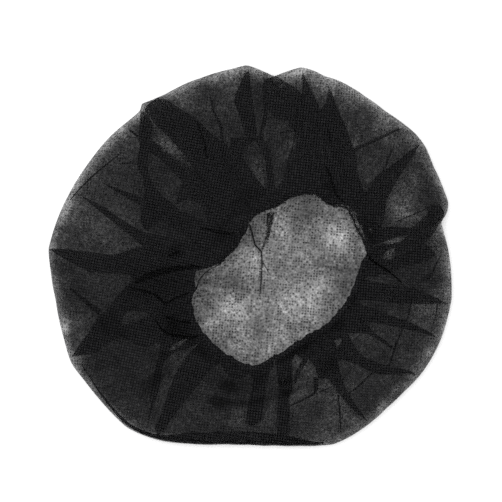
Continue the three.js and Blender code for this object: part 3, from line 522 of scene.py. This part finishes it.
# The upper layer: one sheet that runs round the cap, back over itself at each fold, and on
def foldUpper(runs, lowEdge, highEdge):
    count = len(foldRows)
    foldOf, backOf = [np.repeat([run[k] for run in runs], [run[2] for run in runs]) for k in (0, 1)]
    shareOf = np.concatenate([np.arange(steps) / steps for fold, back, steps in runs])
    columns = np.arange(len(foldOf))
    turn = np.where((foldOf == 0) & ~backOf, 360.0, 0.0)

    def bearingsAt(way):
        # way may differ from column to column
        place = way * (crown["wayStops"] - 1)
        stop = np.floor(place).astype(int).clip(0, crown["wayStops"] - 2)
        part = place - stop
        low = lowEdge[:, stop] * (1 - part) + lowEdge[:, stop + 1] * part
        high = highEdge[:, stop] * (1 - part) + highEdge[:, stop + 1] * part
        start = np.where(backOf, high[foldOf, columns], low[(foldOf - 1) % count, columns] - turn)
        end = np.where(backOf, low[foldOf, columns], high[foldOf, columns])
        return start + (end - start) * shareOf, low, high

    # how many layer gaps each fold lifts each column by
    ahead = (np.arange(count)[:, None] - foldOf) % count
    lifted = np.where(ahead < count / 2, 2.0, 0.0)
    lifted = np.where((ahead == 0) & backOf, np.where(shareOf == 0, 1.5, 1.0), lifted)
    over = np.random.default_rng(5).random(count) < crown["foldsOver"]
    lifted = np.where(over[:, None], lifted, 2.0 - lifted)

    rings = []
    for row in range(crown["rimRows"] + crown["topRows"]):
        bearing, low, high = bearingsAt(np.zeros(len(columns)))
        for attempt in range(3):  # the way in and the bearing depend on each other
            reach = upperReach(row, bearing)
            bearing, low, high = bearingsAt(wayIn(bearing, reach))
        if row < crown["rimRows"]:
            angle = math.pi / 2 * row / crown["rimRows"]
            height = crown["rimRound"] * (1 + math.sin(angle)) * np.ones(len(columns))
        else:
            height = topProfile(bearing, reach)
        x, y = planPoint(bearing, reach)
        height = height + puffs(x, y, max(0.0, (row - crown["rimRows"]) / (crown["topRows"] - 1)))
        beside = np.minimum(np.abs(turnFrom(low, bearing)), np.abs(turnFrom(high, bearing)))
        inside = (bearing - low) % 360 <= (high - low) + 1e-6
        distance = np.where(inside, 0.0, beside) * np.radians(reach)
        strength = 1 - smoothStep(distance, 0.0, crown["foldFade"])
        strength *= smoothStep((high - low) * np.radians(reach), 0.0, crown["fullFold"])
        height = height + crown["layerGap"] * np.sum(lifted * strength, axis=0)
        rings.append((x, y, height, reach, bearing))
    return rings


# What the material reads at each point of the cloth, and its usual value: how many layers lie
# there, how much of its colour is left after painted shade, and how strong the web's clouds are
clothValues = {"clothLayers": 1.0, "litShare": 1.0, "cloudShare": 0.5}


def newSheet():
    values = {name: [] for name in clothValues}
    return {"points": [], "corners": [], "weave": [], "values": values, "count": 0}


def addGrid(sheet, rows, weaveRows, values, grain, closed):
    # rows of points joined by faces; grain is the bond grid's turn and shift for each face column
    points = np.asarray(rows, float)
    high, wide = points.shape[:2]
    index = np.arange(high * wide).reshape(high, wide) + sheet["count"]
    sheet["points"].append(points.reshape(-1, 3))
    for name, usual in clothValues.items():
        value = np.broadcast_to(values.get(name, usual), (high, wide))
        sheet["values"][name].append(value.reshape(-1))
    sheet["count"] += high * wide
    following = np.roll(np.arange(wide), -1)
    columns = np.arange(wide if closed else wide - 1)
    weave = np.asarray(weaveRows, float)
    turn, shiftX, shiftY = [np.broadcast_to(np.asarray(part, float), wide)[columns] for part in grain]

    def woven(row, column):
        x, y = weave[row, column, 0], weave[row, column, 1]
        return np.stack([x * np.cos(turn) - y * np.sin(turn) + shiftX,
                         x * np.sin(turn) + y * np.cos(turn) + shiftY], axis=-1) / crown["bondPitch"]

    for row in range(high - 1):
        a, b = (row, columns), (row, following[columns])
        c, d = (row + 1, following[columns]), (row + 1, columns)
        for corners in ((a, b, c), (a, c, d)):
            sheet["corners"].append(np.stack([index[r, k] for r, k in corners], axis=-1))
            sheet["weave"].append(np.stack([woven(r, k) for r, k in corners], axis=1))


def asPhotographed(points):
    # the plan was measured at the outline's height, and higher cloth looks larger from above
    axis = np.array([view["aimX"] - mouthCentre[0], view["aimY"] - mouthCentre[1]])
    share = (view["away"] - points[:, 2]) / (view["away"] - view["planeHeight"])
    plan = axis + (points[:, :2] - axis) * share[:, None]
    return np.column_stack([plan, points[:, 2]])


def finishSheet(sheet, name, material):
    # one mesh, with points that fall together joined and faces without area left out
    joinedTo = 0.001
    sharpAngle = 70
    points = asPhotographed(np.concatenate(sheet["points"]))
    corners = np.concatenate(sheet["corners"])
    weave = np.concatenate(sheet["weave"])
    rounded = np.round(points / joinedTo).astype(np.int64)
    _, first, inverse = np.unique(rounded, axis=0, return_index=True, return_inverse=True)
    corners = inverse.reshape(-1)[corners]
    whole = ((corners[:, 0] != corners[:, 1]) & (corners[:, 1] != corners[:, 2])
             & (corners[:, 2] != corners[:, 0]))
    corners, weave = corners[whole], weave[whole]
    _, single = np.unique(np.sort(corners, axis=1), axis=0, return_index=True)
    corners, weave = corners[np.sort(single)], weave[np.sort(single)]
    place = (points[first] + np.array([mouthCentre[0], mouthCentre[1], 0.0])) * millimetre
    mesh = bpy.data.meshes.new(name)
    mesh.vertices.add(len(place))
    mesh.vertices.foreach_set("co", place.astype(np.float32).ravel())
    mesh.loops.add(len(corners) * 3)
    mesh.loops.foreach_set("vertex_index", corners.astype(np.int32).ravel())
    mesh.polygons.add(len(corners))
    mesh.polygons.foreach_set("loop_start", np.arange(0, len(corners) * 3, 3, dtype=np.int32))
    mesh.update(calc_edges=True)
    grid = mesh.uv_layers.new(name="bondGrid")
    grid.uv.foreach_set("vector", weave.astype(np.float32).ravel())
    for valueName, parts in sheet["values"].items():
        attribute = mesh.attributes.new(valueName, "FLOAT", "POINT")
        attribute.data.foreach_set("value", np.concatenate(parts)[first].astype(np.float32))
    mesh.polygons.foreach_set("use_smooth", np.ones(len(mesh.polygons), dtype=bool))
    mesh.set_sharp_from_angle(angle=math.radians(sharpAngle))
    mesh.materials.append(material)
    piece = bpy.data.objects.new(name, mesh)
    bpy.context.scene.collection.objects.link(piece)
    print(name, len(mesh.polygons), "triangles")
    return piece


def laidFlat(x, y, reach, angle):
    # where the cloth round the outline's fold would lie on the flat disc
    longer = crown["rimRound"] * ((math.pi / 2 - angle) - math.cos(angle))
    stretch = (reach + longer) / reach
    return np.column_stack([x * stretch, y * stretch])


def layGrain(runs):
    # each run of cloth has its bond grid turned and shifted a little from the last
    random = np.random.default_rng(31)
    middle = np.array([np.mean(foldRows[fold], axis=0)[1] for fold, back, steps in runs])
    turn = crown["grainTurn"] + crown["grainLean"] * (1 - np.cos(np.radians(middle)))
    turn = turn + random.uniform(-crown["grainSpread"], crown["grainSpread"], len(runs))
    turn += np.array([crown["grainBack"] if back else 0.0 for fold, back, steps in runs])
    shift = random.integers(0, crown["grainShifts"], (2, len(runs))) * crown["bondPitch"]
    columnsOf = [steps for fold, back, steps in runs]
    return [np.repeat(part, columnsOf) for part in (np.radians(turn), shift[0], shift[1])]


def addUpper(sheet):
    lowEdge, highEdge = foldEdges()
    runs = layRuns(lowEdge, highEdge)
    rings = foldUpper(runs, lowEdge, highEdge)
    weave = []
    layers = []
    lit = []
    clouds = []
    for row, (x, y, z, reach, bearing) in enumerate(rings):
        angle = math.pi / 2 * min(1.0, row / crown["rimRows"])
        weave.append(laidFlat(x, y, reach, angle))
        way = np.clip(wayIn(bearing, reach), 0, 1)
        close = 1.0 + crown["gathering"] * smoothStep(way, *crown["gatherWay"])
        close = close + crown["neckGathering"] * smoothStep(way, *crown["neckWay"])
        unevenness = spots(densityRows, bearing, way) + spots(fringeRows, bearing, way)
        layers.append(np.clip(close + unevenness, *crown["layerRange"]))
        clouds.append(crown["clouds"] + crown["rimClouds"] * (1 - smoothStep(way, *crown["rimCloudWay"])))
        # painted shade: the cloth's colour is darkened in deep, close folds
        lit.append(np.clip(1 - spots(paintedShadeRows, bearing, way), crown["leastLit"], 1.0))
    points = np.array([np.column_stack(ring[:3]) for ring in rings])
    values = {"clothLayers": np.array(layers), "litShare": np.array(lit), "cloudShare": np.array(clouds)}
    addGrid(sheet, points, weave, values, layGrain(runs), True)
    return rings[0][4]


def addBase(sheet, rimBearing):
    # starts from the upper layer's own points on the outline
    _, first = np.unique(np.round(np.mod(rimBearing, 360.0), 4), return_index=True)
    bearing = rimBearing[np.sort(first)]
    outer = outlineReach(bearing)
    rows = []
    weave = []
    for row in range(crown["rimRows"] + 1):
        angle = math.pi / 2 * row / crown["rimRows"]
        reach = outer - crown["rimRound"] * (1 - math.cos(angle))
        x, y = planPoint(bearing, reach)
        z = crown["rimRound"] - (crown["rimRound"] - baseHeight(x, y)) * math.sin(angle)
        rows.append(np.column_stack([x, y, z]))
        weave.append(laidFlat(x, y, reach, angle))
    for row in range(1, crown["baseRows"] + 1):
        reach = (outer - crown["rimRound"]) * (1 - row / crown["baseRows"])
        x, y = planPoint(bearing, reach)
        rows.append(np.column_stack([x, y, baseHeight(x, y)]))
        weave.append(np.column_stack([x, y]))
    rows = np.array(rows)[::-1]
    reach = np.hypot(rows[:, :, 0], rows[:, :, 1])
    inMouth = 1 - smoothStep(reach / mouthEdge(bearing), *crown["mouthShare"])
    share = rows[:, :, :2] / crown["mouthReach"]
    layers = np.zeros(reach.shape)
    for spotX, spotY, spanX, spanY, value in baseSpots:
        away = ((share[:, :, 0] - spotX) / spanX) ** 2 + ((share[:, :, 1] - spotY) / spanY) ** 2
        layers += crown["spotDepth"] * value * np.exp(-away)
    fringe = spots(fringeRows, np.broadcast_to(bearing, reach.shape), wayIn(bearing, reach))
    layers = np.clip(1 + fringe + layers, *crown["baseRange"])
    values = {"clothLayers": layers, "cloudShare": crown["clouds"] + crown["mouthClouds"] * inMouth}
    addGrid(sheet, rows, np.array(weave)[::-1], values, (crown["baseGrainTurn"], 0, 0), True)


def addFlap(sheet, points, widths, heightAt, lift, values, grain):
    # a hairpin crease: two more layers, which lie out beside a line of plan points and back to it
    leaves = ((0.0, 0.12), (1.0, 0.3), (0.0, 0.48))  # share of the width, rise
    along = np.gradient(points, axis=0)
    along /= np.linalg.norm(along, axis=1)[:, None]
    side = np.stack([-along[:, 1], along[:, 0]], axis=1) * widths[:, None]
    rows = []
    for offset, rise in leaves:
        plan = points + side * offset
        rows.append(np.column_stack([plan, heightAt(plan[:, 0], plan[:, 1]) + lift + rise]))
    rows = np.array(rows)
    addGrid(sheet, rows, rows[:, :, :2], values, grain, False)


def addCreases(sheet):
    for lit, lift, rows in upperCreases:
        fine = np.linspace(0, len(rows) - 1, crown["creaseStops"] * len(rows))
        bearing, way, width = [np.interp(fine, range(len(rows)), part) for part in np.array(rows).T]
        reach = outlineReach(bearing) * (1 - way) + mouthEdge(bearing) * way
        # painted shade: a lit share below 1 darkens the crease into a dark line
        values = {"clothLayers": crown["creaseLayers"], "litShare": lit}
        addFlap(sheet, np.column_stack(planPoint(bearing, reach)), width, upperHeight, lift, values,
                (crown["creaseGrainTurn"], 0, 0))
    for layers, rows in baseCreases:
        rows = np.array(rows)
        length = np.concatenate([[0], np.cumsum(np.hypot(*np.diff(rows[:, :2], axis=0).T))])
        fine = np.linspace(0, length[-1], crown["baseCreaseStops"])
        x, y, width = [np.interp(fine, length, part) for part in rows.T]
        addFlap(sheet, np.column_stack([x, y]) * crown["mouthReach"], width, baseHeight,
                crown["baseCreaseLift"], {"clothLayers": layers}, (0, crown["baseCreaseShift"], 0))


# Colours and nodes
def toLinear(hexColour):
    channels = [int(hexColour[i:i + 2], 16) / 255 for i in (1, 3, 5)]
    linear = [c / 12.92 if c <= 0.04045 else ((c + 0.055) / 1.055) ** 2.4 for c in channels]
    return (*linear, 1.0)


def addNode(tree, kind, inputs=None, **settings):
    node = tree.nodes.new(kind)
    for name, value in settings.items():
        setattr(node, name, value)
    for socket, value in (inputs or {}).items():
        if isinstance(value, bpy.types.NodeSocket):
            tree.links.new(value, node.inputs[socket])
        else:
            node.inputs[socket].default_value = value
    return node


def newMaterial(name):
    material = bpy.data.materials.new(name)
    material.use_nodes = True
    material.node_tree.nodes.clear()
    return material, material.node_tree


# Black polypropylene fibres laid as a thin web and fused by hot rollers at small points: the eye
# sees light through a cloudy web and a fine square grid of closed, faintly glossy dots.
spunbond = {
    "webColour": "#0b0b0c",
    # painted highlight: the bond points' lighter colour stands in for their glossy reflection
    "bondHighlightColour": "#232324",
    # painted shade: the colour that deep folds and dark crease lines are darkened toward
    "paintedShadeColour": "#020202",
    "webOpen": 0.47,        # light that one layer's web lets through
    "leastOpen": 0.04,
    "mostOpen": 0.92,
    "bondShade": 0.25,      # the closest bond point lets this share of that through
    "bondClear": 1.2,       # and the clearest this share
    "bondRadius": 0.28,     # in pitches
    "bondSpread": (0.85, 1.1),
    "bondSoft": 0.17,
    "cloudSize": 22.0,      # millimetres
    "cloudDepth": 0.62,
    "fleckSize": 5.0,
    "fleckDepth": 0.16,
    "fibreSize": 1.4,       # real fibres are far finer, and this is as fine as shows
    "fibreDepth": 0.42,
    "reliefDepth": 0.0003,  # metres
    "relief": 0.35,
    "roughness": 0.74,      # of the web, and of a fused point
    "bondRoughness": 0.48,
    "gloss": 0.012,
    "ior": 1.49,
}


def makeSpunbond(name, settings):
    material, tree = newMaterial(name)
    layers = addNode(tree, "ShaderNodeAttribute", attribute_name="clothLayers").outputs["Fac"]
    lit = addNode(tree, "ShaderNodeAttribute", attribute_name="litShare").outputs["Fac"]
    cloudShare = addNode(tree, "ShaderNodeAttribute", attribute_name="cloudShare").outputs["Fac"]

    # bond points: a square grid, each a little larger or smaller and more or less closed
    grid = addNode(tree, "ShaderNodeUVMap", uv_map="bondGrid").outputs["UV"]
    cell = addNode(tree, "ShaderNodeVectorMath", {0: grid}, operation="FLOOR").outputs[0]
    inCell = addNode(tree, "ShaderNodeVectorMath", {0: grid}, operation="FRACTION").outputs[0]
    away = addNode(tree, "ShaderNodeVectorMath", {0: inCell, 1: (0.5, 0.5, 0.0)},
                   operation="DISTANCE").outputs["Value"]
    chance = addNode(tree, "ShaderNodeTexWhiteNoise", {"Vector": cell},
                     noise_dimensions="2D").outputs["Value"]
    smallest, largest = [settings["bondRadius"] * share for share in settings["bondSpread"]]
    radius = addNode(tree, "ShaderNodeMapRange",
                     {"Value": chance, "To Min": smallest, "To Max": largest}).outputs[0]
    softEdge = addNode(tree, "ShaderNodeMath", {0: radius, 1: settings["bondSoft"]}).outputs[0]
    bond = addNode(tree, "ShaderNodeMapRange", {"Value": away, "From Min": radius, "From Max": softEdge,
                   "To Min": 1.0, "To Max": 0.0}, interpolation_type="SMOOTHSTEP").outputs[0]
    shade = addNode(tree, "ShaderNodeMapRange", {"Value": chance, "To Min": settings["bondShade"],
                    "To Max": settings["bondClear"]}).outputs[0]
    web = addNode(tree, "ShaderNodeMix", {"Factor": bond, "A": 1.0, "B": shade}).outputs[0]

    # clouds, flecks and fibres: the web lies thicker here and thinner there
    for size, depth, share in (("cloudSize", "cloudDepth", cloudShare), ("fleckSize", "fleckDepth", 1.0),
                               ("fibreSize", "fibreDepth", 1.0)):
        noise = addNode(tree, "ShaderNodeTexNoise", {"Vector": grid, "Detail": 3.0, "Roughness": 0.5,
                        "Scale": crown["bondPitch"] / settings[size]}).outputs["Fac"]
        uneven = addNode(tree, "ShaderNodeMapRange", {"Value": noise, "From Min": 0.25, "From Max": 0.75,
                         "To Min": -settings[depth], "To Max": settings[depth]}, clamp=False).outputs[0]
        gain = addNode(tree, "ShaderNodeMath", {0: uneven, 1: share, 2: 1.0},
                       operation="MULTIPLY_ADD").outputs[0]
        web = addNode(tree, "ShaderNodeMath", {0: web, 1: gain}, operation="MULTIPLY").outputs[0]

    # further layers in one place lie at random to each other, so they shade evenly
    first = addNode(tree, "ShaderNodeMath", {0: web, 1: settings["webOpen"]},
                    operation="MULTIPLY").outputs[0]
    first = addNode(tree, "ShaderNodeClamp", {"Value": first, "Min": settings["leastOpen"],
                    "Max": settings["mostOpen"]}).outputs[0]
    more = addNode(tree, "ShaderNodeMath", {0: layers, 1: 1.0}, operation="SUBTRACT").outputs[0]
    further = addNode(tree, "ShaderNodeMath", {0: settings["webOpen"], 1: more},
                      operation="POWER").outputs[0]
    through = addNode(tree, "ShaderNodeMath", {0: first, 1: further}, operation="MULTIPLY").outputs[0]
    alpha = addNode(tree, "ShaderNodeMath", {0: 1.0, 1: through}, operation="SUBTRACT",
                    use_clamp=True).outputs[0]

    # a fused point is smoother than the web, and its glossy reflection is painted into its colour as a
    # lighter dot with a random painted glint; painted shade darkens the cloth to near black in deep folds
    # and dark crease lines
    glint = addNode(tree, "ShaderNodeMapRange", {"Value": chance, "To Min": 0.5, "To Max": 1.0}).outputs[0]
    paintedHighlight = addNode(tree, "ShaderNodeMath", {0: bond, 1: glint}, operation="MULTIPLY").outputs[0]
    colour = addNode(tree, "ShaderNodeMix", {"Factor": paintedHighlight, 6: toLinear(settings["webColour"]),
                     7: toLinear(settings["bondHighlightColour"])}, data_type="RGBA").outputs[2]
    # painted shade: where litShare is below 1 the colour is darkened toward near black
    colour = addNode(tree, "ShaderNodeMix", {"Factor": lit, 6: toLinear(settings["paintedShadeColour"]),
                     7: colour}, data_type="RGBA").outputs[2]
    rough = addNode(tree, "ShaderNodeMapRange", {"Value": bond, "To Min": settings["roughness"],
                    "To Max": settings["bondRoughness"]}).outputs[0]
    relief = addNode(tree, "ShaderNodeMath", {0: noise, 1: bond}, operation="SUBTRACT").outputs[0]
    bump = addNode(tree, "ShaderNodeBump", {"Height": relief, "Strength": settings["relief"],
                   "Distance": settings["reliefDepth"]}).outputs["Normal"]
    shader = addNode(tree, "ShaderNodeBsdfPrincipled", {"Base Color": colour, "Roughness": rough,
                     "Alpha": alpha, "Normal": bump, "IOR": settings["ior"],
                     "Specular IOR Level": settings["gloss"]})
    addNode(tree, "ShaderNodeOutputMaterial", {"Surface": shader.outputs[0]})
    return material


print("folding the crown")
clothMaterial = makeSpunbond("black spunbond polypropylene, point-bonded", spunbond)
crownSheet = newSheet()
addBase(crownSheet, addUpper(crownSheet))
addCreases(crownSheet)
crownPiece = finishSheet(crownSheet, "crown_cloth", clothMaterial)

# Hem: the crown's edge turned over the elastic, scrunched into small ruffles
hem = {
    "upperLeaf": [(5.4, 0.0, 1.0), (3.8, 0.0, 0.9), (3.0, 0.0, 0.8)],  # way out, down, ripple
    "lowerLeafOut": 4.0,
    "lowerLeafRipple": 0.8,
    "round": 1.9,           # from the mouth's edge to the middle of the turn
    "leafRadius": 1.4,
    "turnRipple": 0.5,
    "above": 2.0,           # top of the hem above the neck
    "meanReach": 75.0,      # at which the ripples' pitch is counted
    "ripplePitch": 2.6,
    "rippleHeight": 0.7,
    "rippleDrift": 2.2,     # how unevenly the ripples follow each other, over driftSize
    "driftSize": 9.0,
    "rippleSpread": 0.25,   # how much their heights differ, over spreadSize
    "spreadSize": 6.0,
    "scallopPitch": 5.4,
    "scallopDepth": 0.7,
    "scallopFade": 8.0,
    "columns": 900,
    "gapFrom": 165.5,
    "gapTo": 184.5,
    "layers": 2.2,
    "thinLayers": 0.45,     # where the hem is one loose turn, from and to these bearings
    "thinFrom": (380.0, 388.0),
    "thinTo": (448.0, 458.0),
    "webOpen": 0.4,
    "grainTurn": 0.1,
}


def makeHem():
    gap = hem["gapTo"] - hem["gapFrom"]
    bearing = hem["gapTo"] + np.linspace(0, 360 - gap, hem["columns"])
    along = np.radians(bearing) * hem["meanReach"]
    drift = hem["rippleDrift"] * softNoise(along, 0 * along, hem["driftSize"], 41)
    ripple = np.sin(2 * math.pi * along / hem["ripplePitch"] + drift)
    spread = hem["rippleSpread"] * softNoise(along, 0 * along, hem["spreadSize"], 42)
    ripple *= 1 - hem["rippleSpread"] + spread
    scallop = hem["scallopDepth"] * softNoise(along, 0 * along, hem["scallopPitch"] / 2, 43)
    section = list(hem["upperLeaf"])
    for turn in range(0, 181, 30):
        angle = math.radians(90 + turn)
        section.append((hem["round"] + hem["leafRadius"] * math.cos(angle),
                        hem["round"] - hem["leafRadius"] * math.sin(angle), hem["turnRipple"]))
    section.append((hem["lowerLeafOut"], hem["round"] + hem["leafRadius"], hem["lowerLeafRipple"]))
    rows = []
    for out, down, share in section:
        x, y = planPoint(bearing, mouthEdge(bearing) + out + scallop * (1 - out / hem["scallopFade"]))
        z = neckTop(bearing) + hem["above"] - down + share * hem["rippleHeight"] * ripple
        rows.append(np.column_stack([x, y, z]))
    rows = np.array(rows)
    thin = smoothStep(bearing, *hem["thinFrom"]) * (1 - smoothStep(bearing, *hem["thinTo"]))
    sheet = newSheet()
    layers = hem["layers"] + (hem["thinLayers"] - hem["layers"]) * thin
    addGrid(sheet, rows, rows[:, :, :2], {"clothLayers": layers}, (hem["grainTurn"], 0, 0), False)
    gathered = dict(spunbond, webOpen=hem["webOpen"])
    return finishSheet(sheet, "hem_ruffle", makeSpunbond("black spunbond polypropylene, gathered", gathered))


print("ruffling the hem")
hemPiece = makeHem()

# Elastic: a rubber core braided over with black yarn, which gives the eye fine crossed ribs, with painted
# shade in the grooves between them
elastic = {
    "diameter": 1.2,
    "columns": 420,
    "sides": 10,
    "coverColour": "#141415",
    # painted shade in the grooves between the ribs
    "grooveShadeColour": "#040404",
    "ribPitch": 1.98,       # the real ribs are near 0.5 mm, too fine to show
    "roughness": 0.8,
    "relief": 0.4,
    "reliefDepth": 0.0001,  # metres
    "gloss": 0.1,
    "ior": 1.5,
}


def makeCoveredElastic():
    material, tree = newMaterial("black covered elastic, braided")
    grid = addNode(tree, "ShaderNodeUVMap", uv_map="bondGrid").outputs["UV"]
    waveScale = crown["bondPitch"] / elastic["ribPitch"] * math.pi / 5  # ten radians to a unit
    ribs = []
    for lean in (1.0, -1.0):
        place = addNode(tree, "ShaderNodeMapping", {"Vector": grid, "Scale": (1.0, lean, 1.0)}).outputs[0]
        ribs.append(addNode(tree, "ShaderNodeTexWave", {"Vector": place, "Scale": waveScale},
                            bands_direction="DIAGONAL").outputs["Fac"])
    braid = addNode(tree, "ShaderNodeMath", {0: ribs[0], 1: ribs[1]}, operation="MAXIMUM").outputs[0]
    # painted shade: the grooves between the ribs are darker than the yarn
    colour = addNode(tree, "ShaderNodeMix", {"Factor": braid, 6: toLinear(elastic["grooveShadeColour"]),
                     7: toLinear(elastic["coverColour"])}, data_type="RGBA").outputs[2]
    bump = addNode(tree, "ShaderNodeBump", {"Height": braid, "Strength": elastic["relief"],
                   "Distance": elastic["reliefDepth"]}).outputs[0]
    shader = addNode(tree, "ShaderNodeBsdfPrincipled", {"Base Color": colour, "Normal": bump,
                     "Roughness": elastic["roughness"], "IOR": elastic["ior"],
                     "Specular IOR Level": elastic["gloss"]})
    addNode(tree, "ShaderNodeOutputMaterial", {"Surface": shader.outputs[0]})
    return material


def makeElastic():
    bearing = np.arange(elastic["columns"]) * 360.0 / elastic["columns"]
    rows = []
    ribs = []
    for side in range(elastic["sides"] + 1):
        angle = 2 * math.pi * side / elastic["sides"]
        reach = mouthEdge(bearing) + hem["round"] + elastic["diameter"] / 2 * math.cos(angle)
        x, y = planPoint(bearing, reach)
        z = neckTop(bearing) - hem["round"] + hem["above"] + elastic["diameter"] / 2 * math.sin(angle)
        rows.append(np.column_stack([x, y, z]))
        ribs.append(np.column_stack([np.radians(bearing) * crown["mouthReach"],
                                     np.zeros(len(bearing)) + angle * elastic["diameter"] / 2]))
    sheet = newSheet()
    addGrid(sheet, rows, ribs, {}, (0, 0, 0), True)
    return finishSheet(sheet, "elastic_cord", makeCoveredElastic())


print("laying in the elastic")
elasticPiece = makeElastic()

for piece, node, slot in ((crownPiece, "crown", "nonwoven"), (hemPiece, "hem", "gathered_edge"),
                          (elasticPiece, "elastic", "elastic")):
    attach(piece, "root")
    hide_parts(node)

# Floor, light and camera
studio = {
    "floorSize": 8.0,       # metres
    "floorDrop": 0.0002,
    "floorColour": "#f3f3f3",
    "floorRoughness": 0.9,
    "skyLight": 0.7,
    "keyLight": 2.9,
    "keyAngle": 80.0,       # as wide as a large soft box
    "keyLean": (-12.0, -14.0),
}
print("setting up the studio")
bpy.ops.mesh.primitive_plane_add(size=studio["floorSize"], location=(0, 0, -studio["floorDrop"]))
floor = bpy.context.object
floor.name = "studio_floor"
paper = bpy.data.materials.new("white matt paper")
paper.use_nodes = True
paperShader = paper.node_tree.nodes["Principled BSDF"]
paperShader.inputs["Base Color"].default_value = toLinear(studio["floorColour"])
paperShader.inputs["Roughness"].default_value = studio["floorRoughness"]
floor.data.materials.append(paper)

scene = bpy.context.scene
scene.world = bpy.data.worlds.new("soft studio light")
scene.world.use_nodes = True
sky = scene.world.node_tree.nodes["Background"]
sky.inputs["Color"].default_value = (1, 1, 1, 1)
sky.inputs["Strength"].default_value = studio["skyLight"]

keyData = bpy.data.lights.new("soft_key", "SUN")
keyData.energy = studio["keyLight"]
keyData.angle = math.radians(studio["keyAngle"])
key = bpy.data.objects.new("soft_key", keyData)
key.rotation_euler = (*[math.radians(lean) for lean in studio["keyLean"]], 0)
scene.collection.objects.link(key)

cameraData = bpy.data.cameras.new("camera")
cameraData.sensor_width = view["sensor"]
cameraData.lens = view["sensor"] * (view["away"] - view["planeHeight"]) / view["across"]
cameraData.clip_end = view["clipEnd"]
camera = bpy.data.objects.new("camera", cameraData)
camera.location = (view["aimX"] * millimetre, view["aimY"] * millimetre, view["away"] * millimetre)
scene.collection.objects.link(camera)
bpy.context.scene.camera = camera

scene.view_settings.view_transform = "Standard"
scene.view_settings.look = "None"
scene.cycles.transparent_max_bounces = 40  # light passes many layers of cloth
scene.cycles.max_bounces = 12
scene.cycles.use_denoising = False  # the denoiser takes the bond points for noise
